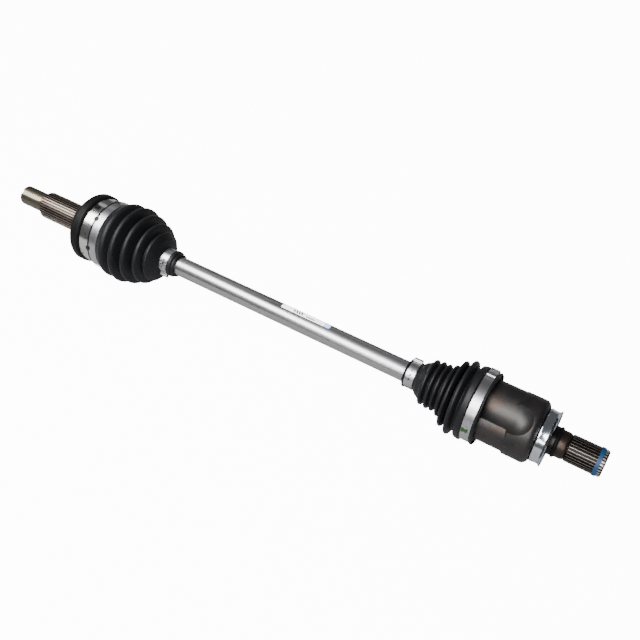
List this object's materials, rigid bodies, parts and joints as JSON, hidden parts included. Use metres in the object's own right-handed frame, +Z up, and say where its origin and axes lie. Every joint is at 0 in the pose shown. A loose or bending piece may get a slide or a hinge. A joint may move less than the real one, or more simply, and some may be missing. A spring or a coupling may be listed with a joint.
{
  "type": "cv axle",
  "caption": "Car drive shaft with a ball joint and splined, threaded stub at the wheel end, a plunging tripod joint and splined stub at the gearbox end, both under bellows boots.",
  "frame": {"origin": "on the axle's axis, at the shoulder that the wheel hub's bearing seats against", "axes": "+X along the axle towards the gearbox, +Z up with the axle lying level"},
  "size_m": [0.7486, 0.0902, 0.0902],
  "materials": {
    "shaft_steel": "bare satin turned bar",
    "race_steel": "machined, warm grey on the stub",
    "bearing_steel": "ground",
    "spring_steel": "dark oiled",
    "clamp_steel": "satin stainless strip",
    "zinc_plate": "bright zinc",
    "forged_steel": "dark phosphated forging",
    "boot_rubber": "satin black moulding",
    "deflector_rubber": "black",
    "adapter_plastic": "black",
    "blue_plastic": "blue",
    "label": "white printed film"
  },
  "bodies": {
    "shaft": {"axle_shaft": "shaft_steel", "shaft_label": "label", "inner_race_circlip": "spring_steel", "spider_circlip": "spring_steel", "outboard_inner_race": "bearing_steel", "tripod_spider": "bearing_steel", "outboard_small_clamp": "clamp_steel", "inboard_small_clamp": "clamp_steel"},
    "outboard_race": {"outboard_race_stub": "race_steel", "dust_deflector": "deflector_rubber", "outboard_boot": "boot_rubber", "outboard_large_clamp": "clamp_steel"},
    "outboard_cage": {"ball_cage": "bearing_steel", "drive_ball_1": "bearing_steel", "drive_ball_2": "bearing_steel", "drive_ball_3": "bearing_steel", "drive_ball_4": "bearing_steel", "drive_ball_5": "bearing_steel", "drive_ball_6": "bearing_steel"},
    "inboard_housing": {"tripod_housing": "forged_steel", "boot_adapter": "adapter_plastic", "inboard_boot": "boot_rubber", "inboard_large_clamp": "clamp_steel", "dust_shield": "zinc_plate", "journal_seal_ring": "deflector_rubber", "stub_circlip": "spring_steel", "circlip_protector": "blue_plastic"},
    "ring_1": {"inner_ring_1": "bearing_steel", "needle_rollers_1": "bearing_steel"},
    "roller_1": {"outer_roller_1": "bearing_steel"},
    "ring_2": {"inner_ring_2": "bearing_steel", "needle_rollers_2": "bearing_steel"},
    "roller_2": {"outer_roller_2": "bearing_steel"},
    "ring_3": {"inner_ring_3": "bearing_steel", "needle_rollers_3": "bearing_steel"},
    "roller_3": {"outer_roller_3": "bearing_steel"}
  },
  "joints": [
    {"name": "outboard_steer", "type": "hinge", "parent": "shaft", "child": "outboard_race", "pos_m": [0.032, 0, 0], "axis": [0, 0, 1], "range_deg": [-45, 45], "deforming": ["outboard_boot"]},
    {"name": "cage_half_angle", "type": "hinge", "parent": "shaft", "child": "outboard_cage", "pos_m": [0.032, 0, 0], "axis": [0, 0, 1], "range_deg": [-22.5, 22.5]},
    {"name": "inboard_tilt", "type": "hinge", "parent": "shaft", "child": "ring_1", "pos_m": [0.53, 0, 0], "axis": [0, 1, 0], "range_deg": [-16, 16], "deforming": ["inboard_boot"]},
    {"name": "inboard_plunge", "type": "slide", "parent": "ring_1", "child": "inboard_housing", "axis": [1, 0, 0], "range_m": [-0.013, 0.013], "deforming": ["inboard_boot"]},
    {"name": "ring_2_shift", "type": "slide", "parent": "ring_1", "child": "ring_2", "axis": [1, 0, 0], "range_m": [-0.0048, 0.0048]},
    {"name": "ring_3_shift", "type": "slide", "parent": "ring_1", "child": "ring_3", "axis": [1, 0, 0], "range_m": [-0.0048, 0.0048]},
    {"name": "roller_1_roll", "type": "hinge", "parent": "ring_1", "child": "roller_1", "pos_m": [0.53, -0.0195, 0], "axis": [0, -1, 0], "range_deg": [-52, 52]},
    {"name": "roller_2_roll", "type": "hinge", "parent": "ring_2", "child": "roller_2", "pos_m": [0.53, 0.00975, 0.01689], "axis": [0, 0.5, 0.866], "range_deg": [-52, 52]},
    {"name": "roller_3_roll", "type": "hinge", "parent": "ring_3", "child": "roller_3", "pos_m": [0.53, 0.00975, -0.01689], "axis": [0, 0.5, -0.866], "range_deg": [-52, 52]}
  ],
  "couplings": [
    {"joint": "cage_half_angle", "follows": "outboard_steer", "ratio": 0.5},
    {"joint": "ring_2_shift", "follows": "inboard_tilt", "m_per_rad": -0.016669},
    {"joint": "ring_3_shift", "follows": "inboard_tilt", "m_per_rad": 0.016669},
    {"joint": "roller_1_roll", "follows": "inboard_plunge", "rad_per_m": 68.966},
    {"joint": "roller_2_roll", "follows": "inboard_plunge", "rad_per_m": 68.966},
    {"joint": "roller_3_roll", "follows": "inboard_plunge", "rad_per_m": 68.966}
  ]
}
